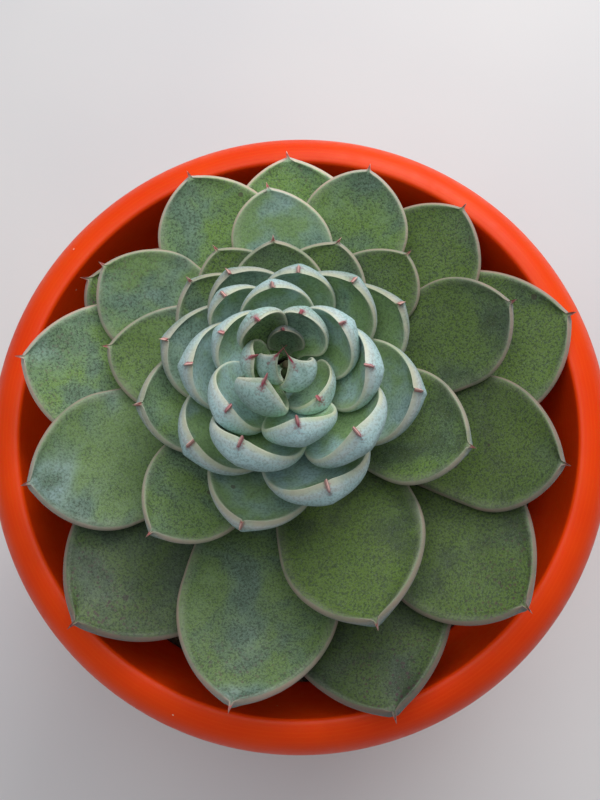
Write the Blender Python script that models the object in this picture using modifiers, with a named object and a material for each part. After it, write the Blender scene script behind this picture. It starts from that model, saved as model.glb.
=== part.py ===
"""Potted rosette succulent: a round plastic pot, its soil, a short stem and fifty-six fleshy leaves.

Metres, +Z up. The origin is the centre of the pot's foot, on the surface that the pot stands on.
"""

from math import cos, pi, radians, sin

import bmesh
import bpy
import numpy as np

MM = 0.001

# ---------------------------------------------------------------- driving dimensions (mm)
POT_HEIGHT = 118.0
RIM_RADIUS = 75.0        # outermost edge of the rolled lip
MOUTH_RADIUS = 65.5      # inner edge of the lip, its highest circle
LIP_DROP = 10.0          # the lip's outer edge lies this far below its inner edge
SKIRT_DEPTH = 11.0       # straight skirt below the lip's outer edge
SKIRT_WALL = 2.4
WALL = 2.6
BASE_RADIUS = 51.0
FLOOR_UP = 4.0           # underside of the pot's floor above the surface
FLOOR_WALL = 2.8
FOOT_WIDTH = 5.0
DRAIN_COUNT = 6
DRAIN_RADIUS = 4.5
DRAIN_CIRCLE = 27.0
TURN_STEPS = 48
FIT_GAP = 0.3            # clearance between neighbouring solids

SOIL_BELOW_RIM = 28.0    # soil surface at the stem
SOIL_AT_WALL = 25.0      # soil surface at the pot's wall
STEM_SOCKET = 20.0       # how deep the stem stands in the soil
STEM_TOP = 24.0          # the stem's tip, above the plane of the lowest leaf tips
STEM_INSET = 1.1         # stem surface inside the leaf bases
STEM_FOOT = 11.0         # stem radius below the lowest leaf

# The rosette. Its leaves lie in nested bowl-shaped layers round the stem. A layer is named by the
# height at which it leaves the stem, above the plane of the lowest leaf tips.
TIP_PLANE = POT_HEIGHT + 2.0
AXIS_X, AXIS_Y = -0.8, 9.8   # the plant stands off the pot's centre
LEAN_Y = 0.01
SKEW = 0.13                  # leaves on the -Y side are longer than those on the +Y side
LAYER_LOW, LAYER_HIGH = -20.0, 27.0
TIP_HEIGHT = 40.0
TIP_REACH = 65.0
BASE_REACH = 11.0
LEAF_GAP = 0.42
BASE_WIDTH = 0.36            # a leaf's width at the stem, as a share of its greatest width
TIP_SHARE = 0.62             # from the widest place to the tip, in leaf widths
BLADE = 0.075                # thickness, as a share of the leaf's width
CUPPING = 0.02               # how far the margins rise, as a share of the leaf's width
STATIONS = (0.0, 0.13, 0.3, 0.47, 0.63, 0.77, 0.9, 1.0)

# Leaf schedule from the bud outwards: azimuth (deg), length as a share of its layer's full
# length, greatest width (mm), sideways sweep of the tip (deg).
LEAVES = (
    (210, 1.25, 4.0, 3), (315, 1.25, 9.0, 10), (89, 0.69, 10.5, 6),
    (178, 0.87, 11.5, 6), (124, 1.16, 13.0, 5), (234, 1.25, 14.5, 8),
    (61, 0.90, 14.5, 10), (324, 0.67, 17.0, -13), (285, 1.24, 18.0, -3),
    (209, 1.06, 19.5, 13), (37, 0.96, 21.0, -3), (6, 1.06, 22.0, -9),
    (140, 0.83, 22.0, 12), (248, 1.25, 23.5, -5), (320, 1.25, 24.0, -5),
    (101, 0.88, 19.0, -2), (165, 0.92, 25.0, 11), (124, 0.89, 15.5, 4),
    (83, 0.89, 18.0, 1), (289, 1.14, 26.5, 1), (218, 0.92, 27.5, -3),
    (65, 0.88, 28.0, -9), (355, 0.87, 28.5, 1), (113, 0.85, 22.5, 5),
    (150, 0.80, 30.0, 9), (46, 0.85, 28.5, -10), (254, 0.92, 27.5, -2),
    (184, 0.82, 30.0, 1), (132, 0.79, 25.0, -1), (99, 0.78, 25.5, -3),
    (81, 0.76, 27.0, -8), (112, 0.75, 25.0, 4), (345, 0.98, 28.5, -2),
    (156, 0.81, 29.5, 6), (225, 0.95, 26.5, 0), (56, 0.83, 22.5, -4),
    (295, 1.18, 35.5, -4), (91, 0.98, 25.0, 5), (23, 1.07, 27.5, 2),
    (142, 1.04, 28.0, 0), (196, 1.15, 33.5, 0), (70, 1.10, 27.0, 2),
    (112, 1.09, 31.0, 1), (351, 1.19, 32.0, -3), (167, 1.20, 35.5, 1),
    (262, 1.25, 38.5, -3), (84, 1.11, 39.0, 7), (49, 1.10, 29.0, 2),
    (324, 1.23, 40.0, -4), (21, 1.17, 42.5, 0), (226, 1.18, 44.5, -2),
    (292, 1.22, 45.0, -3), (134, 1.02, 37.5, 12), (194, 0.99, 34.0, 0),
    (60, 0.87, 31.0, 2), (356, 0.89, 36.0, 1),
)


# ---------------------------------------------------------------- scene
for old in list(bpy.data.objects):
    bpy.data.objects.remove(old, do_unlink=True)


def collection(name):
    found = bpy.data.collections.new(name)
    bpy.context.scene.collection.children.link(found)
    return found


PARTS = collection("potted_rosette_succulent")
CUTTERS = collection("cutters")


def material(name, colour, rough):
    m = bpy.data.materials.new(name)
    m.use_nodes = True
    shader = m.node_tree.nodes["Principled BSDF"]
    shader.inputs["Base Color"].default_value = (*colour, 1.0)
    shader.inputs["Roughness"].default_value = rough
    shader.inputs["Metallic"].default_value = 0.0
    m.diffuse_color = (*colour, 1.0)
    return m


def add(name, data, mat=None, into=PARTS):
    obj = bpy.data.objects.new(name, data)
    into.objects.link(obj)
    if mat is not None:
        data.materials.append(mat)
    return obj


def turned(name, profile, mat, steps=TURN_STEPS):
    """A solid of revolution about Z from (radius, height) points in mm, outer side top to bottom."""
    mesh = bpy.data.meshes.new(name)
    mesh.from_pydata([(r * MM, 0.0, z * MM) for r, z in profile],
                     [(i, i + 1) for i in range(len(profile) - 1)], [])
    obj = add(name, mesh, mat)
    screw = obj.modifiers.new("turn", "SCREW")
    screw.axis = "Z"
    screw.angle = 2 * pi
    screw.steps = screw.render_steps = steps
    screw.use_merge_vertices = True
    screw.merge_threshold = 0.00001
    screw.use_smooth_shade = True
    return obj


def cutter(name, cylinders):
    """One cutting tool made of upright cylinders (x, y, radius, low, high) in mm."""
    bm = bmesh.new()
    for x, y, r, low, high in cylinders:
        made = bmesh.ops.create_cone(bm, cap_ends=True, segments=20, radius1=r * MM,
                                     radius2=r * MM, depth=(high - low) * MM)
        bmesh.ops.translate(bm, verts=made["verts"], vec=(x * MM, y * MM, (low + high) / 2 * MM))
    mesh = bpy.data.meshes.new(name)
    bm.to_mesh(mesh)
    bm.free()
    obj = add(name, mesh, into=CUTTERS)
    obj.hide_render = True
    obj.display_type = "WIRE"
    return obj


def cut(obj, tool):
    mod = obj.modifiers.new("cut", "BOOLEAN")
    mod.operation = "DIFFERENCE"
    mod.solver = "EXACT"
    mod.object = tool


# ---------------------------------------------------------------- pot
FLOOR_TOP = FLOOR_UP + FLOOR_WALL


def inner_radius(z):
    """Inside of the pot's wall at height z."""
    low = BASE_RADIUS - WALL
    return low + (MOUTH_RADIUS - low) * (z - FLOOR_TOP) / (POT_HEIGHT - FLOOR_TOP)


def pot_profile():
    h = POT_HEIGHT
    points = [(0.0, FLOOR_TOP), (inner_radius(FLOOR_TOP) - 2.0, FLOOR_TOP),
              (inner_radius(FLOOR_TOP + 2.5), FLOOR_TOP + 2.5), (inner_radius(h - 1.5), h - 1.5)]
    # rolled lip: a quarter of an ellipse from the mouth to the outer edge
    for i in range(7):
        a = radians(90 - 15 * i)
        points.append((MOUTH_RADIUS + 0.4 + (RIM_RADIUS - MOUTH_RADIUS - 0.4) * cos(a),
                       h - LIP_DROP + LIP_DROP * sin(a)))
    low = h - LIP_DROP - SKIRT_DEPTH
    points += [(RIM_RADIUS - 0.5, low + 0.6), (RIM_RADIUS - 1.1, low),
               (RIM_RADIUS - 0.5 - SKIRT_WALL, low),
               (RIM_RADIUS - SKIRT_WALL, h - LIP_DROP - 1.0)]
    body = inner_radius(h - 9.0) + WALL
    points += [(body + 1.2, h - LIP_DROP + 1.6), (body, h - LIP_DROP - 1.0)]
    points += [(inner_radius(FLOOR_TOP + 4) + WALL, FLOOR_TOP + 4), (BASE_RADIUS - 0.6, 0.8),
               (BASE_RADIUS - 1.6, 0.0), (BASE_RADIUS - FOOT_WIDTH, 0.0),
               (BASE_RADIUS - FOOT_WIDTH - 1.0, FLOOR_UP), (0.0, FLOOR_UP)]
    return points


POT_PLASTIC = material("orange_pot_plastic", (0.86, 0.10, 0.01), 0.38)
pot = turned("pot", pot_profile(), POT_PLASTIC)
drain = [(DRAIN_CIRCLE * cos(2 * pi * i / DRAIN_COUNT), DRAIN_CIRCLE * sin(2 * pi * i / DRAIN_COUNT),
          DRAIN_RADIUS, FLOOR_UP - 2.0, FLOOR_TOP + 2.0) for i in range(DRAIN_COUNT)]
cut(pot, cutter("drain_hole_cutter", drain))

# ---------------------------------------------------------------- soil
SOIL_TOP = POT_HEIGHT - SOIL_BELOW_RIM
SOIL_EDGE = POT_HEIGHT - SOIL_AT_WALL


def soil_profile():
    low = FLOOR_TOP + FIT_GAP
    gap = FIT_GAP + 0.25
    span = inner_radius(SOIL_EDGE) - gap
    points = [(0.0, SOIL_TOP)]
    for i in range(1, 6):
        t = i / 5
        points.append((span * t, SOIL_TOP + (SOIL_EDGE - SOIL_TOP) * t * t))
    points += [(inner_radius(low + 2.5) - gap, low + 2.5), (inner_radius(low) - 2.0 - gap, low), (0.0, low)]
    return points


SOIL_MIX = material("potting_soil", (0.05, 0.035, 0.025), 0.95)
soil = turned("soil", soil_profile(), SOIL_MIX, 40)

# ---------------------------------------------------------------- leaf layers


def layer(height):
    """Base, middle control point, tip and length of the layer that leaves the stem at height."""
    height = np.asarray(height, float)
    rise = (height - LAYER_LOW) / (LAYER_HIGH - LAYER_LOW)
    left = np.maximum(1 - rise, 0.01)
    base = np.stack([1.2 + BASE_REACH * left, height], -1)
    tip = np.stack([1.0 + TIP_REACH * left ** 0.93, TIP_HEIGHT * (1 - left ** 1.3)], -1)
    bow = np.tan(np.radians(12 + 18 * np.clip(rise, 0, 1) ** 1.5))
    chord = tip - base
    length = np.hypot(chord[..., 0], chord[..., 1])
    out = np.stack([chord[..., 1], -chord[..., 0]], -1) / length[..., None]
    middle = (base + tip) / 2 + out * (length / 2 * bow)[..., None] + 0.04 * chord
    return base, middle, tip, length


def on_layer(height, s):
    """(radius, height) at share s along a layer, from the stem at 0 to the full tip at 1."""
    height, s = np.broadcast_arrays(np.asarray(height, float), np.asarray(s, float))
    base, middle, tip, _ = layer(height)
    s = s[..., None]
    return (1 - s) ** 2 * base + 2 * s * (1 - s) * middle + s ** 2 * tip


def spacing(height, s):
    """Distance across the layers for each mm along the stem."""
    across = (on_layer(height + 0.2, s) - on_layer(height - 0.2, s)) / 0.4
    along = on_layer(height, s + 0.01) - on_layer(height, s - 0.01)
    along = along / np.linalg.norm(along, axis=-1, keepdims=True)
    return np.abs(across[..., 0] * along[..., 1] - across[..., 1] * along[..., 0])


def place(radius, height, angle):
    """From a layer's own (radius, height, angle) to the pot's frame, in mm."""
    return np.stack([radius * np.cos(angle) + AXIS_X,
                     radius * (np.sin(angle) - SKEW) + LEAN_Y * height + AXIS_Y,
                     height + TIP_PLANE], -1)


class Leaf:
    """One leaf. v runs from the stem (0) to the tip (1), u across it from -1 to 1."""

    def __init__(self, azimuth, share, width, sweep):
        self.azimuth, self.share, self.wide, self.sweep = azimuth, share, width, sweep
        self.height = 0.0

    def half_width(self, v):
        length = float(layer(self.height)[3]) * self.share * 1.02
        widest = 1 - min(TIP_SHARE * self.wide, TIP_SHARE * length) / length
        out = np.clip((v - widest) / (1 - widest), 0, 1)
        back = np.clip((widest - v) / widest, 0, 1)
        shape = np.where(v >= widest, (1 - out ** 2.1) ** 1.1, 1 - (1 - BASE_WIDTH) * back ** 1.7)
        return np.maximum(0.5 * self.wide * shape, 0.35)

    def half_angle(self, v):
        radius = np.maximum(on_layer(self.height, v * self.share)[..., 0], 1.0)
        ramp = np.clip(v / 0.55, 0, 1)
        most = 0.34 + 1.3 * ramp * ramp * (3 - 2 * ramp)
        return most * np.tanh(self.half_width(v) / (radius * most))

    def angle(self, v):
        return radians(self.azimuth) + radians(self.sweep) * v ** 2

    def blade(self, v):
        v = np.clip(v, 0, 1)
        most = BLADE * self.wide + 0.35
        return most * (0.32 + 0.68 * np.sin(pi * v ** 0.85)) * (1 - 0.4 * v ** 5)

    def rise(self, v, u):
        return CUPPING * self.wide * np.sin(pi / 2 * np.clip(v, 0, 1)) * u ** 2

    def upper(self, v, u):
        return self.rise(v, u) + 0.36 * self.blade(v) * (1 - np.clip(u * u, 0, 1)) ** 0.8

    def lower(self, v, u):
        return self.rise(v, u) - 0.64 * self.blade(v) * (1 - np.clip(np.abs(u) ** 2.2, 0, 1)) ** 0.8

    def point(self, v, u, side):
        v, u = np.broadcast_arrays(np.asarray(v, float), np.asarray(u, float))
        s = v * self.share
        off = self.upper(v, u) if side > 0 else self.lower(v, u)
        at = on_layer(self.height + off / np.maximum(spacing(self.height, s), 0.3), s)
        return place(at[..., 0], at[..., 1], self.angle(v) + u * self.half_angle(v))


def settle(leaves):
    """Give each leaf its layer: evenly down the stem, and lower where it would touch a leaf above."""
    v = np.linspace(0, 1, 13)
    u = np.linspace(-1, 1, 15)
    top = LAYER_HIGH - 2
    for k, leaf in enumerate(leaves):
        even = top - (top - LAYER_LOW) * k / (len(leaves) - 1)
        leaf.height = even
        for _ in range(3 if k else 0):
            limit = even
            s = v * leaf.share
            half, mid = leaf.half_angle(v), leaf.angle(v)
            radius = on_layer(leaf.height, s)[:, 0]
            room = np.maximum(spacing(leaf.height, s), 0.3)
            for above in leaves[:k]:
                w = s / above.share
                a_half = above.half_angle(np.clip(w, 0, 1))
                a_mid = above.angle(np.clip(w, 0, 1))
                a_room = np.maximum(spacing(above.height, s), 0.3)
                edge = 0.6 / np.maximum(radius, 2)
                angle = mid[:, None] + u[None, :] * (half + edge)[:, None]
                turn = (angle - a_mid[:, None] + pi) % (2 * pi) - pi
                a_u = turn / (a_half + edge)[:, None]
                meets = (np.abs(a_u) <= 1) & (w <= 1)[:, None]
                if meets.any():
                    under = above.height + above.lower(w[:, None], a_u) / a_room[:, None]
                    need = (leaf.upper(v[:, None], u[None, :]) + LEAF_GAP) / room[:, None]
                    limit = min(limit, float((under - need)[meets].min()))
            leaf.height = limit


def leaf_mesh(name, leaf):
    v = np.array(STATIONS)
    across = 3 if float(leaf.half_angle(v).max()) > radians(38) else 2
    u = np.linspace(-1, 1, 2 * across + 1)
    up = leaf.point(v[:, None], u[None, :], 1) * MM
    low = leaf.point(v[:, None], u[None, ::-1][:, 1:-1], -1) * MM
    bm = bmesh.new()
    rings = [[bm.verts.new(tuple(p)) for p in np.concatenate([a, b])] for a, b in zip(up, low)]
    count = len(rings[0])
    for one, two in zip(rings, rings[1:]):
        for i in range(count):
            j = (i + 1) % count
            bm.faces.new((one[i], one[j], two[j], two[i]))
    bm.faces.new(rings[0])
    bm.faces.new(rings[-1][::-1])
    bmesh.ops.triangulate(bm, faces=bm.faces[:])
    bmesh.ops.recalc_face_normals(bm, faces=bm.faces[:])
    mesh = bpy.data.meshes.new(name)
    bm.to_mesh(mesh)
    bm.free()
    mesh.shade_smooth()
    return mesh


leaves = [Leaf(*row) for row in LEAVES]
settle(leaves)
for number, leaf in enumerate(leaves, 1):
    name = f"leaf_{number:02d}"
    young = number / len(leaves)
    skin = material(name + "_skin", (0.20 + 0.10 * (1 - young), 0.34 + 0.08 * (1 - young), 0.24 + 0.12 * (1 - young)), 0.55)
    add(name, leaf_mesh(name, leaf), skin)

# ---------------------------------------------------------------- stem


def stem_points():
    """Heights up the stem with its radius there, from its foot in the soil to under the bud."""
    foot = SOIL_TOP - STEM_SOCKET - TIP_PLANE
    lowest = min(leaf.height for leaf in leaves) - 1.0
    points = [(foot, STEM_FOOT - 2.0), (foot + 6.0, STEM_FOOT), (lowest, STEM_FOOT)]
    steps = 9
    for i in range(1, steps + 1):
        h = lowest + 1.0 + (STEM_TOP - lowest - 1.0) * i / steps
        base = float(layer(h)[0][0])
        points.append((h, max(min(STEM_FOOT, base - STEM_INSET), 0.5)))
    return points


STEM_SKIN = material("stem_skin", (0.30, 0.33, 0.20), 0.7)
spine = bpy.data.curves.new("stem", "CURVE")
spine.dimensions = "3D"
spine.bevel_depth = 1.0 * MM
spine.bevel_resolution = 2
spine.use_fill_caps = True
line = spine.splines.new("POLY")
rows = stem_points()
line.points.add(len(rows) - 1)
for point, (h, r) in zip(line.points, rows):
    # the skew moves a layer's ring towards -Y in step with its radius
    point.co = (AXIS_X * MM, (AXIS_Y + LEAN_Y * h - SKEW * r) * MM, (TIP_PLANE + h) * MM, 1.0)
    point.radius = r
add("stem", spine, STEM_SKIN)

socket_y = AXIS_Y + LEAN_Y * (SOIL_TOP - TIP_PLANE) - SKEW * STEM_FOOT
cut(soil, cutter("stem_socket_cutter", [(AXIS_X, socket_y, STEM_FOOT + 0.8,
                                         SOIL_TOP - STEM_SOCKET - FIT_GAP, SOIL_TOP + 5.0)]))
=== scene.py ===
"""Potted rosette succulent, finished: materials, fine shapes, floor, light and camera."""

from math import atan2, cos, hypot, pi, radians, sin

import bmesh
import bpy
import numpy as np
from mathutils import Matrix, Vector


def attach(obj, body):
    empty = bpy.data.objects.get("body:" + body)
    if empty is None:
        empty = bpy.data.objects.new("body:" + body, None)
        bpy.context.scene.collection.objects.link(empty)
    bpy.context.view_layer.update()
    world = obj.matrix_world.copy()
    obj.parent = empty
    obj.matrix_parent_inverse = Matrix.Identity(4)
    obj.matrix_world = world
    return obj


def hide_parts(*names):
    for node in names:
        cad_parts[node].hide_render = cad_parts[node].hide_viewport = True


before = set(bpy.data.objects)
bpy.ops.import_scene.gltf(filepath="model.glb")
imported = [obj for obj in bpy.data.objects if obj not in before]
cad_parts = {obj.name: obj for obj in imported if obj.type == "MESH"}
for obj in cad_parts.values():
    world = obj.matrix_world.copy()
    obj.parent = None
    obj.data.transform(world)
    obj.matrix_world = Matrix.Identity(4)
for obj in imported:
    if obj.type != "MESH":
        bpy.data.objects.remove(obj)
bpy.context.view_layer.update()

MM = 0.001

# ---------------------------------------------------------------- driving dimensions (mm)
POT_HEIGHT = 118.0
RIM_RADIUS = 75.0        # outermost edge of the rolled lip
MOUTH_RADIUS = 65.5      # inner edge of the lip, its highest circle
LIP_DROP = 10.0          # the lip's outer edge lies this far below its inner edge
SKIRT_DEPTH = 11.0       # straight skirt below the lip's outer edge
SKIRT_WALL = 2.4
WALL = 2.6
BASE_RADIUS = 51.0
FLOOR_UP = 4.0           # underside of the pot's floor above the surface
FLOOR_WALL = 2.8
FOOT_WIDTH = 5.0
DRAIN_COUNT = 6
DRAIN_RADIUS = 4.5
DRAIN_CIRCLE = 27.0
TURN_STEPS = 48
FIT_GAP = 0.3            # clearance between neighbouring solids

SOIL_BELOW_RIM = 28.0    # soil surface at the stem
SOIL_AT_WALL = 25.0      # soil surface at the pot's wall
STEM_SOCKET = 20.0       # how deep the stem stands in the soil
STEM_TOP = 24.0          # the stem's tip, above the plane of the lowest leaf tips
STEM_INSET = 1.1         # stem surface inside the leaf bases
STEM_FOOT = 11.0         # stem radius below the lowest leaf

# The rosette. Its leaves lie in nested bowl-shaped layers round the stem. A layer is named by the
# height at which it leaves the stem, above the plane of the lowest leaf tips.
TIP_PLANE = POT_HEIGHT + 2.0
AXIS_X, AXIS_Y = -0.8, 9.8   # the plant stands off the pot's centre
LEAN_Y = 0.01
SKEW = 0.13                  # leaves on the -Y side are longer than those on the +Y side
LAYER_LOW, LAYER_HIGH = -20.0, 27.0
TIP_HEIGHT = 40.0
TIP_REACH = 65.0
BASE_REACH = 11.0
LEAF_GAP = 0.42
BASE_WIDTH = 0.36            # a leaf's width at the stem, as a share of its greatest width
TIP_SHARE = 0.62             # from the widest place to the tip, in leaf widths
BLADE = 0.075                # thickness, as a share of the leaf's width
CUPPING = 0.02               # how far the margins rise, as a share of the leaf's width
STATIONS = (0.0, 0.13, 0.3, 0.47, 0.63, 0.77, 0.9, 1.0)

# Leaf schedule from the bud outwards: azimuth (deg), length as a share of its layer's full
# length, greatest width (mm), sideways sweep of the tip (deg).
LEAVES = (
    (210, 1.25, 4.0, 3), (315, 1.25, 9.0, 10), (89, 0.69, 10.5, 6),
    (178, 0.87, 11.5, 6), (124, 1.16, 13.0, 5), (234, 1.25, 14.5, 8),
    (61, 0.90, 14.5, 10), (324, 0.67, 17.0, -13), (285, 1.24, 18.0, -3),
    (209, 1.06, 19.5, 13), (37, 0.96, 21.0, -3), (6, 1.06, 22.0, -9),
    (140, 0.83, 22.0, 12), (248, 1.25, 23.5, -5), (320, 1.25, 24.0, -5),
    (101, 0.88, 19.0, -2), (165, 0.92, 25.0, 11), (124, 0.89, 15.5, 4),
    (83, 0.89, 18.0, 1), (289, 1.14, 26.5, 1), (218, 0.92, 27.5, -3),
    (65, 0.88, 28.0, -9), (355, 0.87, 28.5, 1), (113, 0.85, 22.5, 5),
    (150, 0.80, 30.0, 9), (46, 0.85, 28.5, -10), (254, 0.92, 27.5, -2),
    (184, 0.82, 30.0, 1), (132, 0.79, 25.0, -1), (99, 0.78, 25.5, -3),
    (81, 0.76, 27.0, -8), (112, 0.75, 25.0, 4), (345, 0.98, 28.5, -2),
    (156, 0.81, 29.5, 6), (225, 0.95, 26.5, 0), (56, 0.83, 22.5, -4),
    (295, 1.18, 35.5, -4), (91, 0.98, 25.0, 5), (23, 1.07, 27.5, 2),
    (142, 1.04, 28.0, 0), (196, 1.15, 33.5, 0), (70, 1.10, 27.0, 2),
    (112, 1.09, 31.0, 1), (351, 1.19, 32.0, -3), (167, 1.20, 35.5, 1),
    (262, 1.25, 38.5, -3), (84, 1.11, 39.0, 7), (49, 1.10, 29.0, 2),
    (324, 1.23, 40.0, -4), (21, 1.17, 42.5, 0), (226, 1.18, 44.5, -2),
    (292, 1.22, 45.0, -3), (134, 1.02, 37.5, 12), (194, 0.99, 34.0, 0),
    (60, 0.87, 31.0, 2), (356, 0.89, 36.0, 1),
)


FLOOR_TOP = FLOOR_UP + FLOOR_WALL


def inner_radius(z):
    """Inside of the pot's wall at height z."""
    low = BASE_RADIUS - WALL
    return low + (MOUTH_RADIUS - low) * (z - FLOOR_TOP) / (POT_HEIGHT - FLOOR_TOP)


def pot_profile():
    h = POT_HEIGHT
    points = [(0.0, FLOOR_TOP), (inner_radius(FLOOR_TOP) - 2.0, FLOOR_TOP),
              (inner_radius(FLOOR_TOP + 2.5), FLOOR_TOP + 2.5), (inner_radius(h - 1.5), h - 1.5)]
    # rolled lip: a quarter of an ellipse from the mouth to the outer edge
    for i in range(7):
        a = radians(90 - 15 * i)
        points.append((MOUTH_RADIUS + 0.4 + (RIM_RADIUS - MOUTH_RADIUS - 0.4) * cos(a),
                       h - LIP_DROP + LIP_DROP * sin(a)))
    low = h - LIP_DROP - SKIRT_DEPTH
    points += [(RIM_RADIUS - 0.5, low + 0.6), (RIM_RADIUS - 1.1, low),
               (RIM_RADIUS - 0.5 - SKIRT_WALL, low),
               (RIM_RADIUS - SKIRT_WALL, h - LIP_DROP - 1.0)]
    body = inner_radius(h - 9.0) + WALL
    points += [(body + 1.2, h - LIP_DROP + 1.6), (body, h - LIP_DROP - 1.0)]
    points += [(inner_radius(FLOOR_TOP + 4) + WALL, FLOOR_TOP + 4), (BASE_RADIUS - 0.6, 0.8),
               (BASE_RADIUS - 1.6, 0.0), (BASE_RADIUS - FOOT_WIDTH, 0.0),
               (BASE_RADIUS - FOOT_WIDTH - 1.0, FLOOR_UP), (0.0, FLOOR_UP)]
    return points


SOIL_TOP = POT_HEIGHT - SOIL_BELOW_RIM
SOIL_EDGE = POT_HEIGHT - SOIL_AT_WALL


def soil_profile():
    low = FLOOR_TOP + FIT_GAP
    gap = FIT_GAP + 0.25
    span = inner_radius(SOIL_EDGE) - gap
    points = [(0.0, SOIL_TOP)]
    for i in range(1, 6):
        t = i / 5
        points.append((span * t, SOIL_TOP + (SOIL_EDGE - SOIL_TOP) * t * t))
    points += [(inner_radius(low + 2.5) - gap, low + 2.5), (inner_radius(low) - 2.0 - gap, low), (0.0, low)]
    return points


# ---------------------------------------------------------------- leaf layers


def layer(height):
    """Base, middle control point, tip and length of the layer that leaves the stem at height."""
    height = np.asarray(height, float)
    rise = (height - LAYER_LOW) / (LAYER_HIGH - LAYER_LOW)
    left = np.maximum(1 - rise, 0.01)
    base = np.stack([1.2 + BASE_REACH * left, height], -1)
    tip = np.stack([1.0 + TIP_REACH * left ** 0.93, TIP_HEIGHT * (1 - left ** 1.3)], -1)
    bow = np.tan(np.radians(12 + 18 * np.clip(rise, 0, 1) ** 1.5))
    chord = tip - base
    length = np.hypot(chord[..., 0], chord[..., 1])
    out = np.stack([chord[..., 1], -chord[..., 0]], -1) / length[..., None]
    middle = (base + tip) / 2 + out * (length / 2 * bow)[..., None] + 0.04 * chord
    return base, middle, tip, length


def on_layer(height, s):
    """(radius, height) at share s along a layer, from the stem at 0 to the full tip at 1."""
    height, s = np.broadcast_arrays(np.asarray(height, float), np.asarray(s, float))
    base, middle, tip, _ = layer(height)
    s = s[..., None]
    return (1 - s) ** 2 * base + 2 * s * (1 - s) * middle + s ** 2 * tip


def spacing(height, s):
    """Distance across the layers for each mm along the stem."""
    across = (on_layer(height + 0.2, s) - on_layer(height - 0.2, s)) / 0.4
    along = on_layer(height, s + 0.01) - on_layer(height, s - 0.01)
    along = along / np.linalg.norm(along, axis=-1, keepdims=True)
    return np.abs(across[..., 0] * along[..., 1] - across[..., 1] * along[..., 0])


def place(radius, height, angle):
    """From a layer's own (radius, height, angle) to the pot's frame, in mm."""
    return np.stack([radius * np.cos(angle) + AXIS_X,
                     radius * (np.sin(angle) - SKEW) + LEAN_Y * height + AXIS_Y,
                     height + TIP_PLANE], -1)


class Leaf:
    """One leaf. v runs from the stem (0) to the tip (1), u across it from -1 to 1."""

    def __init__(self, azimuth, share, width, sweep):
        self.azimuth, self.share, self.wide, self.sweep = azimuth, share, width, sweep
        self.height = 0.0

    def half_width(self, v):
        length = float(layer(self.height)[3]) * self.share * 1.02
        widest = 1 - min(TIP_SHARE * self.wide, TIP_SHARE * length) / length
        out = np.clip((v - widest) / (1 - widest), 0, 1)
        back = np.clip((widest - v) / widest, 0, 1)
        shape = np.where(v >= widest, (1 - out ** 2.1) ** 1.1, 1 - (1 - BASE_WIDTH) * back ** 1.7)
        return np.maximum(0.5 * self.wide * shape, 0.35)

    def half_angle(self, v):
        radius = np.maximum(on_layer(self.height, v * self.share)[..., 0], 1.0)
        ramp = np.clip(v / 0.55, 0, 1)
        most = 0.34 + 1.3 * ramp * ramp * (3 - 2 * ramp)
        return most * np.tanh(self.half_width(v) / (radius * most))

    def angle(self, v):
        return radians(self.azimuth) + radians(self.sweep) * v ** 2

    def blade(self, v):
        v = np.clip(v, 0, 1)
        most = BLADE * self.wide + 0.35
        return most * (0.32 + 0.68 * np.sin(pi * v ** 0.85)) * (1 - 0.4 * v ** 5)

    def rise(self, v, u):
        return CUPPING * self.wide * np.sin(pi / 2 * np.clip(v, 0, 1)) * u ** 2

    def upper(self, v, u):
        return self.rise(v, u) + 0.36 * self.blade(v) * (1 - np.clip(u * u, 0, 1)) ** 0.8

    def lower(self, v, u):
        return self.rise(v, u) - 0.64 * self.blade(v) * (1 - np.clip(np.abs(u) ** 2.2, 0, 1)) ** 0.8

    def point(self, v, u, side):
        v, u = np.broadcast_arrays(np.asarray(v, float), np.asarray(u, float))
        s = v * self.share
        off = self.upper(v, u) if side > 0 else self.lower(v, u)
        at = on_layer(self.height + off / np.maximum(spacing(self.height, s), 0.3), s)
        return place(at[..., 0], at[..., 1], self.angle(v) + u * self.half_angle(v))


def settle(leaves):
    """Give each leaf its layer: evenly down the stem, and lower where it would touch a leaf above."""
    v = np.linspace(0, 1, 13)
    u = np.linspace(-1, 1, 15)
    top = LAYER_HIGH - 2
    for k, leaf in enumerate(leaves):
        even = top - (top - LAYER_LOW) * k / (len(leaves) - 1)
        leaf.height = even
        for _ in range(3 if k else 0):
            limit = even
            s = v * leaf.share
            half, mid = leaf.half_angle(v), leaf.angle(v)
            radius = on_layer(leaf.height, s)[:, 0]
            room = np.maximum(spacing(leaf.height, s), 0.3)
            for above in leaves[:k]:
                w = s / above.share
                a_half = above.half_angle(np.clip(w, 0, 1))
                a_mid = above.angle(np.clip(w, 0, 1))
                a_room = np.maximum(spacing(above.height, s), 0.3)
                edge = 0.6 / np.maximum(radius, 2)
                angle = mid[:, None] + u[None, :] * (half + edge)[:, None]
                turn = (angle - a_mid[:, None] + pi) % (2 * pi) - pi
                a_u = turn / (a_half + edge)[:, None]
                meets = (np.abs(a_u) <= 1) & (w <= 1)[:, None]
                if meets.any():
                    under = above.height + above.lower(w[:, None], a_u) / a_room[:, None]
                    need = (leaf.upper(v[:, None], u[None, :]) + LEAF_GAP) / room[:, None]
                    limit = min(limit, float((under - need)[meets].min()))
            leaf.height = limit


leaves = [Leaf(*row) for row in LEAVES]
settle(leaves)


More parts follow.
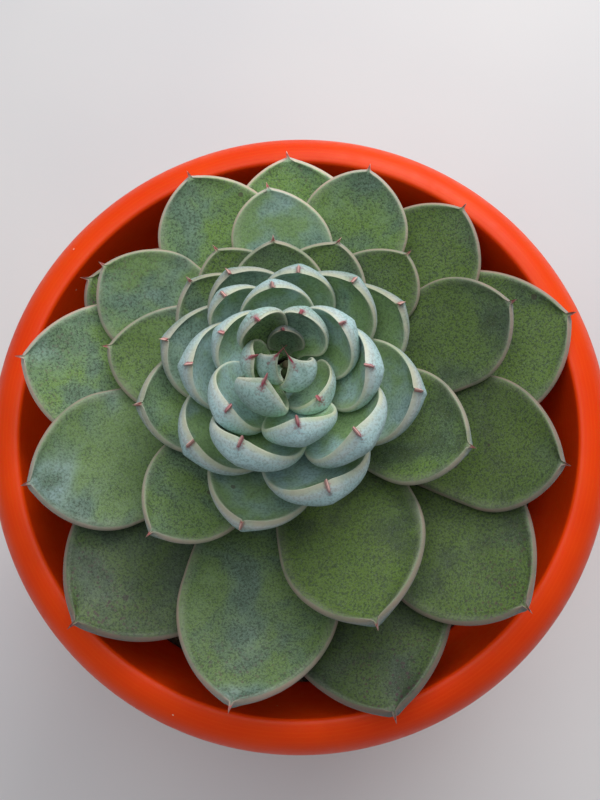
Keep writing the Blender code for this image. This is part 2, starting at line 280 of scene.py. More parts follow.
def stem_points():
    """Heights up the stem with its radius there, from its foot in the soil to under the bud."""
    foot = SOIL_TOP - STEM_SOCKET - TIP_PLANE
    lowest = min(leaf.height for leaf in leaves) - 1.0
    points = [(foot, STEM_FOOT - 2.0), (foot + 6.0, STEM_FOOT), (lowest, STEM_FOOT)]
    steps = 9
    for i in range(1, steps + 1):
        h = lowest + 1.0 + (STEM_TOP - lowest - 1.0) * i / steps
        base = float(layer(h)[0][0])
        points.append((h, max(min(STEM_FOOT, base - STEM_INSET), 0.5)))
    return points


def put(name, mesh, mat, smooth=True):
    obj = bpy.data.objects.new(name, mesh)
    bpy.context.scene.collection.objects.link(obj)
    mesh.materials.append(mat)
    if smooth:
        mesh.shade_smooth()
    return obj


class Nodes:
    """Short hand for building a material's node tree."""

    def __init__(self, name):
        self.mat = bpy.data.materials.new(name)
        self.mat.use_nodes = True
        self.tree = self.mat.node_tree
        self.shader = self.tree.nodes["Principled BSDF"]
        coords = self.tree.nodes.new("ShaderNodeTexCoord")
        scale = self.tree.nodes.new("ShaderNodeVectorMath")
        scale.operation = "SCALE"
        scale.inputs["Scale"].default_value = 1000.0
        self.tree.links.new(coords.outputs["Object"], scale.inputs[0])
        self.place = scale.outputs[0]          # the point, in mm

    def link(self, value, socket):
        if isinstance(value, bpy.types.NodeSocket):
            self.tree.links.new(value, socket)
        else:
            socket.default_value = value

    def attribute(self, name):
        n = self.tree.nodes.new("ShaderNodeAttribute")
        n.attribute_name = name
        return n.outputs["Fac"]

    def math(self, op, a, b=0.0, c=0.0, clamp=False):
        n = self.tree.nodes.new("ShaderNodeMath")
        n.operation = op
        n.use_clamp = clamp
        for value, socket in zip((a, b, c), n.inputs):
            self.link(value, socket)
        return n.outputs[0]

    def add(self, a, b):
        return self.math("ADD", a, b)

    def sub(self, a, b):
        return self.math("SUBTRACT", a, b)

    def mul(self, a, b):
        return self.math("MULTIPLY", a, b)

    def noise(self, scale, detail=2.0, rough=0.5, at=None, distort=0.0):
        n = self.tree.nodes.new("ShaderNodeTexNoise")
        self.link(at if at is not None else self.place, n.inputs["Vector"])
        n.inputs["Scale"].default_value = scale
        n.inputs["Detail"].default_value = detail
        n.inputs["Roughness"].default_value = rough
        n.inputs["Distortion"].default_value = distort
        return n.outputs["Fac"]

    def cells(self, scale, at=None, feature="F1"):
        n = self.tree.nodes.new("ShaderNodeTexVoronoi")
        n.feature = feature
        self.link(at if at is not None else self.place, n.inputs["Vector"])
        n.inputs["Scale"].default_value = scale
        return n.outputs["Distance"], n.outputs["Color"]

    def ramp(self, value, low, high, to_low=0.0, to_high=1.0, smooth=True):
        n = self.tree.nodes.new("ShaderNodeMapRange")
        n.interpolation_type = "SMOOTHSTEP" if smooth else "LINEAR"
        for key, x in (("Value", value), ("From Min", low), ("From Max", high),
                       ("To Min", to_low), ("To Max", to_high)):
            self.link(x, n.inputs[key])
        return n.outputs["Result"]

    def mix(self, factor, a, b, kind="MIX"):
        n = self.tree.nodes.new("ShaderNodeMix")
        n.data_type = "RGBA"
        n.blend_type = kind
        n.clamp_factor = True
        self.link(factor, n.inputs[0])
        for value, socket in ((a, n.inputs[6]), (b, n.inputs[7])):
            if isinstance(value, tuple):
                value = (*value, 1.0)
            self.link(value, socket)
        return n.outputs[2]

    def split(self, colour):
        n = self.tree.nodes.new("ShaderNodeSeparateColor")
        self.link(colour, n.inputs[0])
        return n.outputs

    def bump(self, height, strength, distance, normal=None):
        n = self.tree.nodes.new("ShaderNodeBump")
        n.inputs["Strength"].default_value = strength
        n.inputs["Distance"].default_value = distance
        self.link(height, n.inputs["Height"])
        if normal is not None:
            self.link(normal, n.inputs["Normal"])
        return n.outputs["Normal"]

    def finish(self, colour, rough, normal=None, **fixed):
        self.link(colour, self.shader.inputs["Base Color"])
        self.link(rough, self.shader.inputs["Roughness"])
        if normal is not None:
            self.link(normal, self.shader.inputs["Normal"])
        for key, value in fixed.items():
            self.shader.inputs[key.replace("_", " ")].default_value = value
        return self.mat


# ================================================================ leaf skin
def leaf_skin():
    n = Nodes("leaf_skin")
    edge, tip = n.attribute("edge"), n.attribute("tip")          # mm from the margin, from the tip
    age, under = n.attribute("age"), n.attribute("under")
    cover, bloom = n.attribute("cover"), n.attribute("bloom")
    purple, shade = n.attribute("purple"), n.attribute("tone_and_painted_light")

    broad = n.noise(0.055, 3.0, 0.55, distort=0.6)
    patch = n.noise(0.17, 4.0, 0.6)
    grain = n.noise(1.9, 3.0, 0.65)
    fine = n.noise(4.6, 2.0, 0.6)
    green = n.mix(n.ramp(broad, 0.35, 0.68), (0.070, 0.112, 0.038), (0.105, 0.155, 0.052))
    waxy = n.mix(n.ramp(patch, 0.35, 0.7), (0.135, 0.235, 0.195), (0.200, 0.310, 0.280))
    pale = (0.360, 0.500, 0.540)
    # wax bloom: patchy, worn through in places, thick on the young leaves and on the backs
    wax = n.add(n.add(bloom, n.ramp(age, 0.62, 0.35, 0.0, 0.38)), n.mul(n.sub(patch, 0.5), 0.9))
    wax = n.add(wax, n.mul(n.sub(broad, 0.5), 0.7))
    wax = n.math("MAXIMUM", wax, n.mul(under, 0.85), clamp=True)
    colour = n.mix(wax, green, waxy)
    colour = n.mix(n.mul(n.ramp(wax, 0.62, 1.15), 0.75), colour, pale)
    # green flush where a leaf above keeps the wax off
    flush = n.mul(n.ramp(cover, 13.0, 0.5), n.ramp(n.add(broad, n.mul(patch, 0.5)), 0.55, 0.85))
    flush = n.mul(flush, n.sub(1.0, under))
    colour = n.mix(n.mul(flush, 0.80), colour, (0.135, 0.230, 0.026))
    # grain of the skin
    dark = n.mul(n.ramp(grain, 0.55, 0.38), n.ramp(wax, 0.5, 1.0, 0.72, 0.34))
    colour = n.mix(dark, colour, (0.030, 0.050, 0.026))
    light = n.mul(n.ramp(fine, 0.52, 0.68), 0.36)
    colour = n.mix(light, colour, (0.270, 0.340, 0.290))
    # old leaves: purple-brown speckle gathering towards the tip
    spots, chance = n.cells(0.85)
    freckle = n.ramp(n.add(spots, n.mul(patch, 0.5)), 0.62, 0.42)
    freckle = n.mul(freckle, n.ramp(n.sub(tip, n.mul(patch, 16.0)), 16.0, -3.0))
    freckle = n.mul(n.mul(freckle, purple), n.sub(1.0, n.mul(under, 0.5)))
    colour = n.mix(n.mul(freckle, 0.90), colour, (0.115, 0.058, 0.066))
    # scars and dust
    scar, pick = n.cells(0.16)
    chosen = n.ramp(n.split(pick)[0], 0.80, 0.83)
    size = n.ramp(n.split(pick)[1], 0.0, 1.0, 0.035, 0.13, smooth=False)
    scarred = n.mul(n.math("LESS_THAN", scar, size), chosen)
    colour = n.mix(n.mul(scarred, 0.65), colour, (0.075, 0.055, 0.048))
    # pale rounded margin, with a thin pink line on the older leaves
    reach = n.ramp(age, 0.0, 1.0, 0.55, 0.40, smooth=False)
    rim = n.ramp(n.add(edge, n.mul(n.sub(grain, 0.5), 0.5)), n.mul(reach, 1.5), n.mul(reach, 0.15))
    rim = n.mul(rim, n.mul(n.ramp(age, 0.0, 1.0, 0.62, 0.62, smooth=False), n.ramp(patch, 0.25, 0.6, 0.55, 1.0)))
    rim = n.mul(rim, n.sub(1.0, n.mul(under, n.ramp(age, 0.35, 0.6, 0.80, 0.30))))
    colour = n.mix(rim, colour, (0.500, 0.540, 0.440))
    haze = n.mul(n.mul(n.ramp(edge, 3.2, 0.3), n.ramp(patch, 0.3, 0.65, 0.12, 0.34)), n.sub(1.0, under))
    colour = n.mix(haze, colour, (0.330, 0.360, 0.260))
    pink = n.mul(n.ramp(edge, 0.55, 0.10), n.ramp(age, 0.25, 1.0, 0.12, 0.55))
    pink = n.mul(pink, n.ramp(patch, 0.30, 0.62, 0.35, 1.0))
    colour = n.mix(pink, colour, (0.420, 0.170, 0.150))
    # red star round the tip and the horny point itself
    star = n.ramp(n.add(tip, n.mul(n.sub(grain, 0.5), 2.2)), n.ramp(age, 0.0, 1.0, 2.1, 1.7), 0.7)
    colour = n.mix(n.mul(star, n.ramp(age, 0.1, 0.5, 0.95, 0.85)), colour,
                   n.mix(n.ramp(age, 0.25, 0.55), (0.230, 0.014, 0.042), (0.520, 0.120, 0.130)))
    horn = n.ramp(tip, 0.9, 0.3)
    colour = n.mix(n.mul(horn, n.ramp(age, 0.05, 0.4, 0.12, 0.85)), colour, (0.640, 0.400, 0.350))
    # each leaf's own depth of tone, partly painted light and painted shade: a brightness multiplier that
    # lightens the young inner leaves and sets each other leaf lighter or darker by how lit it is
    tone_and_light = n.tree.nodes.new("ShaderNodeCombineColor")
    for i in range(3):
        n.link(shade, tone_and_light.inputs[i])
    colour = n.mix(1.0, colour, tone_and_light.outputs[0], "MULTIPLY")
    rough = n.ramp(n.add(grain, n.mul(patch, 0.8)), 0.5, 1.3, 0.62, 0.42)
    height = n.add(n.mul(grain, 0.7), n.mul(fine, 0.5))
    normal = n.bump(height, 0.32, 0.00022)
    normal = n.bump(patch, 0.25, 0.0012, normal)
    return n.finish(colour, rough, normal, Specular_IOR_Level=0.42, Sheen_Weight=0.10,
                    Sheen_Roughness=0.45)


# ================================================================ leaves
class FleshyLeaf(Leaf):
    """The leaf with its plump rounded margin, horny point and slight unevenness."""

    def grown(self, number, height):
        self.height = height
        self.number = number
        self.share *= TRIM.get(number, 1.0)
        self.length = float(layer(height)[3]) * self.share * 1.02
        self.point_mm = 0.55 + 0.022 * self.wide
        self.end = 1.0 + 0.4 / self.length
        young = 1 - (number - 1) / 55
        self.bead = 0.28 + 0.008 * self.wide
        self.inner = float(np.clip((young - 0.42) / 0.25, 0, 1))      # 1 on the plump young leaves
        self.back = self.inner * min(0.7 + 0.085 * self.wide, 2.4)    # how far the back bulges near the tip
        self.curl = 0.10 * self.inner
        self.crown = self.bead + (1 - self.inner) * (0.12 + 0.010 * self.wide)
        return self

    def half_width(self, v):
        v = np.asarray(v, float)
        shown = v * (1 + self.point_mm / self.length)
        body = super().half_width(np.clip(shown, 0, 1)) - 0.35
        if self.inner < 1:
            widest = 1 - TIP_SHARE * self.wide / self.length
            full = np.clip((shown - widest) / (1 - widest), 0, 1)
            body = body * (1 + (1 - self.inner) * 0.05 * np.sin(pi * full))
        body = 0.5 * self.wide * np.maximum(2 * body / self.wide, 0) ** (0.63 + 0.03 * self.inner)
        spike = 1.7 - 0.7 * self.inner
        left = np.clip((self.end - v) * self.length, 0, spike) / spike
        body = body * (1 + 0.010 * np.sin(11 * v + self.number * 1.7))
        return np.sqrt(body ** 2 + (0.03 + 0.40 * left ** 0.8) ** 2)

    def skin(self, v, u, side):
        half = self.half_width(v)
        inward = (1 - np.abs(u)) * half
        near_tip = np.clip((v - 0.45) / 0.4, 0, 1)
        near_tip = near_tip * near_tip * (3 - 2 * near_tip)
        k = self.number
        wave = 0.005 * self.wide * (np.sin(7.1 * v + 2.3 * u + k) * np.cos(4.3 * u - 3.1 * v + 2 * k))
        base = self.rise(np.clip(v, 0, 1), u) + wave * np.clip(v * 2, 0, 1) + 0.35 * self.back * near_tip
        blade = self.blade(np.clip(v, 0, 1)) * np.clip(half / (half + 1.2), 0, 1)

        def rounded(radius):
            radius = np.minimum(radius, half * 0.95)
            return np.sqrt(np.clip(1 - (1 - np.clip(inward / radius, 0, 1)) ** 2, 0, 1)) * radius

        if side > 0:
            flat = 0.75 - 0.35 * self.inner
            bead = rounded(self.crown)
            settle_in = flat + (1 - flat) * np.exp(-(inward / (2.2 * self.bead + 0.8)) ** 2)
            return base + bead * settle_in + 0.36 * blade * (1 - np.clip(u * u, 0, 1)) ** 0.8
        thick = self.bead + (self.back - self.bead) * near_tip if self.back > self.bead else self.bead
        return base - rounded(thick * (1.15 - 0.35 * np.abs(u))) - (0.64 * blade * (1 - np.abs(u) ** 2.2) ** 0.8
                                        * (1 - 0.6 * near_tip * self.inner))

    def surface(self, v, u, side):
        s = v * self.share
        at = on_layer(self.height + self.skin(v, u, side) / np.maximum(spacing(self.height, s), 0.3), s)
        bend = 1 - self.curl * np.clip((v - 0.6) / 0.4, 0, 1) ** 2 * (1.6 if side > 0 else 1.0)
        return place(at[..., 0] * bend, at[..., 1], self.angle(v) + u * self.half_angle(v))


def covering(k, v, u):
    """Distance in mm from each point of leaf k to the nearest margin that lies over it."""
    leaf = fleshy[k]
    s = v * leaf.share
    radius = np.maximum(on_layer(leaf.height, s)[..., 0], 1.0)
    angle = leaf.angle(v) + u * leaf.half_angle(v)
    least = np.full(v.shape, 60.0)
    for above in fleshy[:k]:
        w = s / above.share
        side = np.abs((angle - above.angle(np.clip(w, 0, 1)) + pi) % (2 * pi) - pi)
        out = (side - above.half_angle(np.clip(w, 0, 1))) * radius
        past = np.maximum(w - 1, 0) * above.length
        least = np.minimum(least, np.hypot(np.maximum(out, 0), past))
    return least


def fleshy_mesh(k):
    leaf = fleshy[k]
    rows, cols = 64, 22
    t = np.linspace(0, 1, rows)
    v = leaf.end * (1 - (1 - t) ** 1.55)
    a = np.linspace(0, pi, cols + 1)
    across = -np.cos(a)
    across = np.sign(across) * (1 - (1 - np.abs(across)) ** 1.12)
    vv, uu = np.meshgrid(v, across, indexing="ij")
    top = leaf.surface(vv, uu, 1)
    bottom = leaf.surface(vv, uu, -1)[:, ::-1][:, 1:-1]
    ring = np.concatenate([top, bottom], 1)
    ring_u = np.concatenate([uu, uu[:, ::-1][:, 1:-1]], 1)
    ring_v = np.repeat(v[:, None], ring.shape[1], 1)
    under = np.zeros(ring.shape[:2])
    under[:, cols + 1:] = 1.0
    count = ring.shape[1]
    points = ring.reshape(-1, 3) * MM
    faces = []
    for i in range(rows - 1):
        for j in range(count):
            q = (j + 1) % count
            faces.append((i * count + j, i * count + q, (i + 1) * count + q, (i + 1) * count + j))
    faces.append(tuple(range(count))[::-1])
    faces.append(tuple((rows - 1) * count + j for j in range(count)))
    mesh = bpy.data.meshes.new(f"leaf_{k + 1:02d}_skin")
    mesh.from_pydata(points.tolist(), [], faces)
    half = leaf.half_width(v)
    edge = (1 - np.abs(ring_u)) * half[:, None]
    left = (leaf.end - ring_v) * leaf.length
    tip = np.hypot(left, ring_u * half[:, None] * 0.8)
    young = 1 - k / (len(fleshy) - 1)
    age = np.full(edge.shape, 1 - young)
    bloom = BLOOM.get(k + 1, 0.18 + 0.30 * young) + np.zeros(edge.shape)
    values = {"edge": edge, "tip": tip, "age": age, "under": under,
              "cover": covering(k, ring_v, ring_u), "bloom": bloom,
              "purple": np.full(edge.shape, PURPLE.get(k + 1, 0.15 * (1 - young))),
              # the default tone lightens the young inner leaves to nearly twice their colour: painted light on
              # their shaded inner faces
              "tone_and_painted_light": np.full(edge.shape, TONE_AND_PAINTED_LIGHT.get(k + 1, 1.0 + 0.95 * max(0.0, young - 0.35) / 0.65))}
    for key, data in values.items():
        layer_data = mesh.attributes.new(key, "FLOAT", "POINT")
        layer_data.data.foreach_set("value", np.ascontiguousarray(data, dtype=np.float32).ravel())
    bm = bmesh.new()
    bm.from_mesh(mesh)
    bmesh.ops.recalc_face_normals(bm, faces=bm.faces[:])
    bm.to_mesh(mesh)
    bm.free()
    return mesh


# outer leaves that end a little short of their layer's full length
TRIM = {40: 0.97, 44: 0.985, 45: 0.94, 46: 0.99, 47: 0.945, 48: 0.945, 49: 0.975, 50: 0.93,
        51: 0.97, 52: 0.955, 53: 0.93, 54: 0.94, 55: 0.94, 56: 0.94}
# wax bloom, purple speckle and depth of tone on the leaves that differ from their neighbours; the depth of tone
# is a brightness multiplier that is partly painted light and painted shade
BLOOM = {1: 0.2, 2: 0.35, 3: 0.2, 4: 0.3, 5: 0.2, 6: 0.35, 7: 0.5, 8: 0.55, 9: 0.9, 10: 0.8,
         11: 0.65, 12: 0.75, 13: 0.8, 14: 0.9, 15: 0.9, 16: 0.8, 17: 0.85, 18: 0.6, 19: 0.6,
         20: 0.9, 21: 0.85, 22: 0.5, 23: 0.7, 24: 0.5, 25: 0.6, 26: 0.55, 27: 0.75, 28: 0.55,
         38: 0.95, 41: 0.75, 35: 0.6, 40: 0.75, 54: 1.1, 45: 0.55, 43: 0.6, 47: 0.6, 46: 0.65,
         42: 0.6, 51: 0.35, 52: 0.3, 37: 0.05, 49: 0.15, 44: 0.1, 33: 0.2, 29: 0.4, 34: 0.6}
PURPLE = {46: 0.5, 49: 0.7, 51: 0.85, 52: 1.0, 53: 0.9, 54: 0.9, 55: 1.0, 56: 1.0, 40: 0.35,
          48: 0.25, 47: 0.35, 45: 0.4}
# painted light and painted shade in these tones: bud and inner leaves lightened, outer leaves darkened or
# lightened by how brightly each one is lit
TONE_AND_PAINTED_LIGHT = {1: 1.5, 2: 1.6, 3: 0.8, 37: 0.78, 46: 0.92, 49: 0.70, 51: 0.62, 52: 0.48, 54: 1.35, 45: 1.5,
        44: 0.68, 50: 1.0, 39: 0.85, 48: 1.1, 42: 1.6, 47: 2.0, 43: 1.7, 38: 1.7, 40: 1.25, 33: 1.0,
        56: 0.6, 55: 0.9, 53: 1.0}

# the two bud leaves close over the growing point
BUD = {1: (216, 0.86, 9.5, 0), 2: (312, 0.90, 12.5, -6), 3: (89, 0.62, 10.5, 6)}
fleshy = [FleshyLeaf(*BUD.get(i, row)).grown(i, leaf.height)
          for i, (row, leaf) in enumerate(zip(LEAVES, leaves), 1)]
for number, curl in ((1, 0.75), (2, 0.70), (4, 0.22), (6, 0.22), (5, 0.12)):
    fleshy[number - 1].curl = curl
LEAF_SKIN = leaf_skin()
for k in range(len(fleshy)):
    node = f"leaf_{k + 1:02d}"
    piece = put(node + "_skin", fleshy_mesh(k), LEAF_SKIN)
    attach(piece, "root")
    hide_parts(node)

# ================================================================ pot
def pot_plastic():
    n = Nodes("orange_pot_plastic")
    parts = n.tree.nodes.new("ShaderNodeSeparateXYZ")
    n.link(n.place, parts.inputs[0])
    x, y, z = parts.outputs
    radius = n.math("SQRT", n.add(n.mul(x, x), n.mul(y, y)))
    rings = n.tree.nodes.new("ShaderNodeCombineXYZ")
    n.link(radius, rings.inputs[0])
    n.link(n.mul(z, 0.8), rings.inputs[1])
    lines = n.noise(2.4, 3.0, 0.7, at=rings.outputs[0])
    broad = n.noise(0.030, 3.0, 0.5)
    cloud = n.noise(0.35, 3.0, 0.6)
    colour = n.mix(n.ramp(broad, 0.3, 0.7), (0.840, 0.046, 0.001), (0.930, 0.066, 0.001))
    colour = n.mix(n.mul(n.ramp(lines, 0.40, 0.62), 0.16), colour, (0.980, 0.115, 0.006))
    colour = n.mix(n.mul(n.ramp(cloud, 0.55, 0.80), 0.14), colour, (0.700, 0.050, 0.006))
    # dust specks and small scuffs
    spot, pick = n.cells(0.22)
    chosen = n.ramp(n.split(pick)[0], 0.86, 0.88)
    speck = n.mul(n.math("LESS_THAN", spot, n.ramp(n.split(pick)[1], 0.0, 1.0, 0.02, 0.06)), chosen)
    colour = n.mix(n.mul(speck, 0.7), colour, (0.850, 0.550, 0.420))
    rough = n.add(n.ramp(cloud, 0.2, 0.8, 0.34, 0.50), n.mul(speck, 0.3))
    normal = n.bump(lines, 0.22, 0.00015)
    normal = n.bump(n.noise(3.0, 2.0), 0.10, 0.00015, normal)
    return n.finish(colour, rough, normal, Specular_IOR_Level=0.20, Subsurface_Weight=0.25,
                    Subsurface_Scale=0.006)


def fine_pot_profile():
    """The pot's section with its lip finely rounded, a small bead at the mouth and a soft outer edge."""
    h = POT_HEIGHT
    points = [(0.0, FLOOR_TOP), (inner_radius(FLOOR_TOP) - 2.0, FLOOR_TOP)]
    for i in range(1, 5):
        a = radians(22.5 * i)
        points.append((inner_radius(FLOOR_TOP) - 2.0 + 2.0 * sin(a), FLOOR_TOP + 2.5 * (1 - cos(a))))
    for i in range(1, 12):
        z = FLOOR_TOP + 2.5 + (h - 2.2 - FLOOR_TOP - 2.5) * i / 12
        points.append((inner_radius(z), z))
    # mouth edge, rounded to a small radius
    edge = MOUTH_RADIUS + 0.9
    for i in range(7):
        a = radians(180 - 15 * i)
        points.append((edge + 1.0 * cos(a) + 0.05, h - 1.0 + 1.0 * sin(a)))
    # crown of the lip
    out = RIM_RADIUS - edge
    for i in range(1, 25):
        a = radians(90 - 3.75 * i)
        points.append((edge + out * cos(a) ** 1.0, h - LIP_DROP + LIP_DROP * sin(a)))
    low = h - LIP_DROP - SKIRT_DEPTH
    points += [(RIM_RADIUS - 0.05, h - LIP_DROP - 1.5), (RIM_RADIUS - 0.25, low + 4.0),
               (RIM_RADIUS - 0.42, low + 1.2), (RIM_RADIUS - 0.65, low + 0.45), (RIM_RADIUS - 1.2, low + 0.05),
               (RIM_RADIUS - 2.1, low + 0.05), (RIM_RADIUS - 2.6, low + 0.4),
               (RIM_RADIUS - 2.85, low + 1.0), (RIM_RADIUS - SKIRT_WALL, h - LIP_DROP - 1.0)]
    body = inner_radius(h - 9.0) + WALL
    points += [(RIM_RADIUS - SKIRT_WALL - 0.8, h - LIP_DROP + 1.0), (body + 1.6, h - LIP_DROP + 1.6),
               (body + 0.4, h - LIP_DROP + 0.8), (body, h - LIP_DROP - 1.0)]
    top, foot = h - LIP_DROP - 1.0, FLOOR_TOP + 4
    for i in range(1, 24):
        z = top + (foot - top) * i / 24
        ring = 0.16 * (0.5 + 0.5 * cos(2 * pi * i / 6))          # faint moulded bands
        points.append((inner_radius(z) + WALL - 0.12 + ring * (0 if i in (1, 23) else 1), z))
    points.append((inner_radius(foot) + WALL, foot))
    points += [(BASE_RADIUS - 0.15, 2.2), (BASE_RADIUS - 0.5, 0.9), (BASE_RADIUS - 0.9, 0.3),
               (BASE_RADIUS - 1.6, 0.0), (BASE_RADIUS - FOOT_WIDTH, 0.0), (BASE_RADIUS - FOOT_WIDTH - 0.5, 0.4),
               (BASE_RADIUS - FOOT_WIDTH - 1.0, FLOOR_UP - 0.6), (BASE_RADIUS - FOOT_WIDTH - 1.6, FLOOR_UP),
               (0.0, FLOOR_UP)]
    return points


def spun(name, profile, steps):
    """Faces of revolution about Z, closed at the axis."""
    points, faces, rings = [], [], []
    for r, z in profile:
        if r < 1e-6:
            rings.append([len(points)] * steps)
            points.append((0.0, 0.0, z * MM))
        else:
            rings.append(list(range(len(points), len(points) + steps)))
            for i in range(steps):
                a = 2 * pi * i / steps
                points.append((r * cos(a) * MM, r * sin(a) * MM, z * MM))
    for one, two in zip(rings, rings[1:]):
        for i in range(steps):
            j = (i + 1) % steps
            face = [one[i], one[j], two[j], two[i]]
            face = [p for n, p in enumerate(face) if p not in face[:n]]
            if len(face) > 2:
                faces.append(face)
    mesh = bpy.data.meshes.new(name)
    mesh.from_pydata(points, [], faces)
    bm = bmesh.new()
    bm.from_mesh(mesh)
    bmesh.ops.recalc_face_normals(bm, faces=bm.faces[:])
    bm.to_mesh(mesh)
    bm.free()
    return mesh


def baked(obj):
    """Replace obj's mesh by the result of its modifiers."""
    made = bpy.data.meshes.new_from_object(obj.evaluated_get(bpy.context.evaluated_depsgraph_get()))
    obj.modifiers.clear()
    obj.data = made


POT_PLASTIC = pot_plastic()
pot = put("pot_body", spun("pot_body", fine_pot_profile(), 240), POT_PLASTIC)
bm = bmesh.new()
for i in range(DRAIN_COUNT):
    a = 2 * pi * i / DRAIN_COUNT
    made = bmesh.ops.create_cone(bm, cap_ends=True, segments=48, radius1=DRAIN_RADIUS * MM,
                                 radius2=DRAIN_RADIUS * MM, depth=8 * MM)
    bmesh.ops.translate(bm, verts=made["verts"],
                        vec=(DRAIN_CIRCLE * cos(a) * MM, DRAIN_CIRCLE * sin(a) * MM, (FLOOR_UP + 1.4) * MM))
mesh = bpy.data.meshes.new("drain_tool")
bm.to_mesh(mesh)
bm.free()
tool = bpy.data.objects.new("drain_tool", mesh)
bpy.context.scene.collection.objects.link(tool)
holes = pot.modifiers.new("holes", "BOOLEAN")
holes.operation = "DIFFERENCE"
holes.solver = "EXACT"
holes.object = tool
baked(pot)
bpy.data.objects.remove(tool, do_unlink=True)
pot.data.set_sharp_from_angle(angle=radians(40))
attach(pot, "root")
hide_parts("pot")


# ================================================================ soil
def potting_mix():
    n = Nodes("potting_mix")
    lump, pick = n.cells(0.35)
    grit = n.noise(0.9, 5.0, 0.7)
    colour = n.mix(n.ramp(grit, 0.3, 0.75), (0.020, 0.013, 0.009), (0.075, 0.050, 0.032))
    colour = n.mix(n.mul(n.ramp(n.split(pick)[0], 0.7, 0.9), 0.6), colour, (0.130, 0.095, 0.060))
    white = n.mul(n.ramp(n.split(pick)[1], 0.93, 0.95), n.ramp(lump, 0.9, 0.4))
    colour = n.mix(n.mul(white, 0.8), colour, (0.420, 0.390, 0.340))
    normal = n.bump(n.add(grit, n.mul(lump, 0.6)), 0.9, 0.0012)
    return n.finish(colour, n.ramp(grit, 0.2, 0.8, 0.98, 0.80), normal, Specular_IOR_Level=0.2)


def wobble(x, y, k):
    """Smooth unevenness, from -1 to 1."""
    return (sin(0.31 * x + 1.7 * k) * cos(0.27 * y - k) + 0.6 * sin(0.83 * x + 0.51 * y + k)
            + 0.4 * cos(1.7 * y - 1.3 * x + 2 * k)) / 2.0


def soil_body():
    profile = soil_profile()
    top = [(0.0, SOIL_TOP)] + [(r, z) for r, z in profile[1:6]]
    rings, steps = 44, 150
    span = profile[5][0]
    bm = bmesh.new()
    rows = []
    for i in range(1, rings + 1):
        r = 2.0 + (span - 2.0) * i / rings
        base = SOIL_TOP + (SOIL_EDGE - SOIL_TOP) * (r / span) ** 2
        row = []
        for j in range(steps):
            a = 2 * pi * j / steps
            x, y = r * cos(a), r * sin(a)
            calm = min(1.0, (span - r) / 4.0)
            z = base - 0.6 + (0.55 * wobble(x, y, 1.0) + 0.35 * wobble(2.7 * x, 2.7 * y, 4.0)) * calm
            row.append(bm.verts.new((x * MM, y * MM, z * MM)))
        rows.append(row)
    low = FLOOR_TOP + FIT_GAP
    for r, z in ((profile[5][0] + 0.0, SOIL_EDGE - 2.0), (profile[6][0], profile[6][1]), (profile[7][0], low)):
        rows.append([bm.verts.new((r * cos(2 * pi * j / steps) * MM, r * sin(2 * pi * j / steps) * MM, z * MM))
                     for j in range(steps)])
    for one, two in zip(rows, rows[1:]):
        for j in range(steps):
            q = (j + 1) % steps
            bm.faces.new((one[j], one[q], two[q], two[j]))
    bm.faces.new(rows[0])
    bm.faces.new(rows[-1])
    bmesh.ops.recalc_face_normals(bm, faces=bm.faces[:])
    mesh = bpy.data.meshes.new("soil_body")
    bm.to_mesh(mesh)
    bm.free()
    return mesh


def grit_mesh():
    """Loose lumps of bark and grit on the soil."""
    rng = np.random.default_rng(11)
    bm = bmesh.new()
    span = soil_profile()[5][0]
    for _ in range(900):
        r = span * rng.uniform(0.30, 0.955) ** 0.6 * 0.985
        a = rng.uniform(0, 2 * pi)
        size = rng.uniform(0.6, 1.0) if rng.random() < 0.7 else rng.uniform(1.0, 2.0)
        if r + size * 1.5 > span:
            continue
        made = bmesh.ops.create_icosphere(bm, subdivisions=2, radius=1.0)
        stretch = Vector((rng.uniform(0.7, 1.4), rng.uniform(0.6, 1.1), rng.uniform(0.45, 0.8)))
        turn = Matrix.Rotation(rng.uniform(0, 2 * pi), 3, "Z") @ Matrix.Rotation(rng.uniform(-0.5, 0.5), 3, "X")
        z = SOIL_TOP + (SOIL_EDGE - SOIL_TOP) * (r / span) ** 2 - 0.3 + 0.25 * size
        phase = rng.uniform(0, 9)
        for vert in made["verts"]:
            p = vert.co
            p = p * (1 + 0.18 * sin(5 * p.x + phase) * cos(4 * p.y - phase) + 0.10 * sin(9 * p.z + phase))
            p = turn @ Vector((p.x * stretch.x, p.y * stretch.y, p.z * stretch.z)) * size
            vert.co = (p + Vector((r * cos(a), r * sin(a), z))) * MM
    mesh = bpy.data.meshes.new("soil_grit")
    bm.to_mesh(mesh)
    bm.free()
    return mesh


POTTING_MIX = potting_mix()
soil = put("soil_body", soil_body(), POTTING_MIX)
grit = put("soil_grit", grit_mesh(), POTTING_MIX)
for piece in (soil, grit):
    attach(piece, "root")
    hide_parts("soil")


# ================================================================ stem
def stem_bark():
    n = Nodes("stem_bark")
    patch = n.noise(0.4, 4.0, 0.6)
    colour = n.mix(n.ramp(patch, 0.3, 0.7), (0.110, 0.080, 0.045), (0.210, 0.230, 0.120))
    normal = n.bump(n.noise(1.2, 4.0, 0.6), 0.5, 0.0006)
    return n.finish(colour, n.ramp(patch, 0.2, 0.8, 0.85, 0.6), normal, Specular_IOR_Level=0.3)


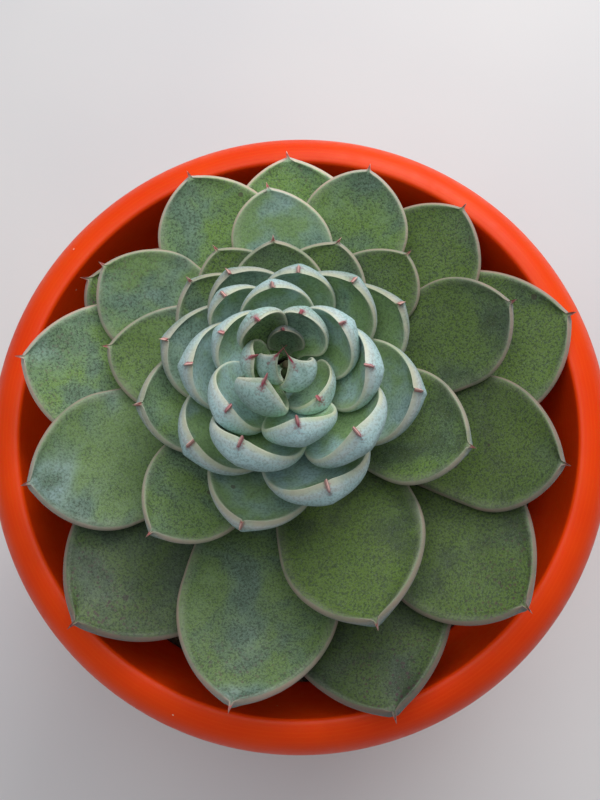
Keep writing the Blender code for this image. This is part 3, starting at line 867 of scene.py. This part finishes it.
def stem_mesh():
    rows_in = stem_points()
    heights = np.array([h for h, _ in rows_in])
    radii = np.array([r for _, r in rows_in])
    steps, points, faces = 48, [], []
    levels = np.linspace(heights[0], heights[-1], 120)
    for h in levels:
        r = float(np.interp(h, heights, radii))
        for j in range(steps):
            a = 2 * pi * j / steps
            ridge = 1 - 0.035 * (0.5 + 0.5 * sin(h * 1.9 + 1.2 * sin(2 * a))) - 0.015 * sin(3 * a + h * 0.4) ** 2
            points.append(((AXIS_X + r * ridge * cos(a)) * MM,
                           (AXIS_Y + LEAN_Y * h - SKEW * r + r * ridge * sin(a)) * MM, (TIP_PLANE + h) * MM))
    for i in range(len(levels) - 1):
        for j in range(steps):
            q = (j + 1) % steps
            faces.append((i * steps + j, i * steps + q, (i + 1) * steps + q, (i + 1) * steps + j))
    faces.append(tuple(range(steps))[::-1])
    faces.append(tuple((len(levels) - 1) * steps + j for j in range(steps)))
    mesh = bpy.data.meshes.new("stem_bark")
    mesh.from_pydata(points, [], faces)
    return mesh


stem = put("stem_bark", stem_mesh(), stem_bark())
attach(stem, "root")
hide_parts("stem")

# ================================================================ floor, light, camera
def floor_paper():
    n = Nodes("pale_floor")
    soft = n.noise(0.006, 2.0, 0.5)
    colour = n.mix(n.ramp(soft, 0.3, 0.7), (0.740, 0.735, 0.750), (0.800, 0.790, 0.790))
    return n.finish(colour, 0.75, n.bump(n.noise(0.02, 3.0, 0.5), 0.10, 0.004), Specular_IOR_Level=0.2)


bm = bmesh.new()
bmesh.ops.create_grid(bm, x_segments=8, y_segments=8, size=2.5)
mesh = bpy.data.meshes.new("floor")
bm.to_mesh(mesh)
bm.free()
floor = put("floor", mesh, floor_paper())


def area_light(name, at, target, size, watts, colour):
    data = bpy.data.lights.new(name, "AREA")
    data.shape = "RECTANGLE"
    data.size, data.size_y = size
    data.energy = watts
    data.color = colour
    obj = bpy.data.objects.new(name, data)
    bpy.context.scene.collection.objects.link(obj)
    obj.location = at
    obj.rotation_euler = (Vector(target) - Vector(at)).to_track_quat("-Z", "Y").to_euler()
    return obj


area_light("window", (0.17, 0.41, 0.44), (0.0, 0.0, 0.10), (0.34, 0.26), 1.75, (1.0, 0.99, 0.97))
area_light("fill", (-0.05, 0.22, 1.0), (0.0, 0.02, 0.1), (0.8, 0.8), 4.2, (0.96, 0.98, 1.0))

world = bpy.data.worlds.new("studio")
world.use_nodes = True
world.node_tree.nodes["Background"].inputs["Color"].default_value = (0.92, 0.95, 1.0, 1.0)
world.node_tree.nodes["Background"].inputs["Strength"].default_value = 0.22
bpy.context.scene.world = world
bpy.context.scene.view_settings.view_transform = "Standard"

lens = bpy.data.cameras.new("camera")
lens.sensor_width = 36.0
lens.sensor_fit = "AUTO"
lens.lens = 40.5
lens.clip_start = 0.01
camera = bpy.data.objects.new("camera", lens)
bpy.context.scene.collection.objects.link(camera)
pitch, yaw = radians(9.18), radians(2.04)
forward = Vector((-cos(pitch) * sin(yaw), sin(pitch), -cos(pitch) * cos(yaw)))
up = Vector((sin(pitch) * sin(yaw), cos(pitch), sin(pitch) * cos(yaw)))
right = Vector((cos(yaw), 0.0, -sin(yaw)))
camera.matrix_world = Matrix(((right.x, up.x, -forward.x, 0.0084),
                              (right.y, up.y, -forward.y, -0.0273),
                              (right.z, up.z, -forward.z, 0.3267),
                              (0.0, 0.0, 0.0, 1.0)))
bpy.context.scene.camera = camera
bpy.context.view_layer.update()
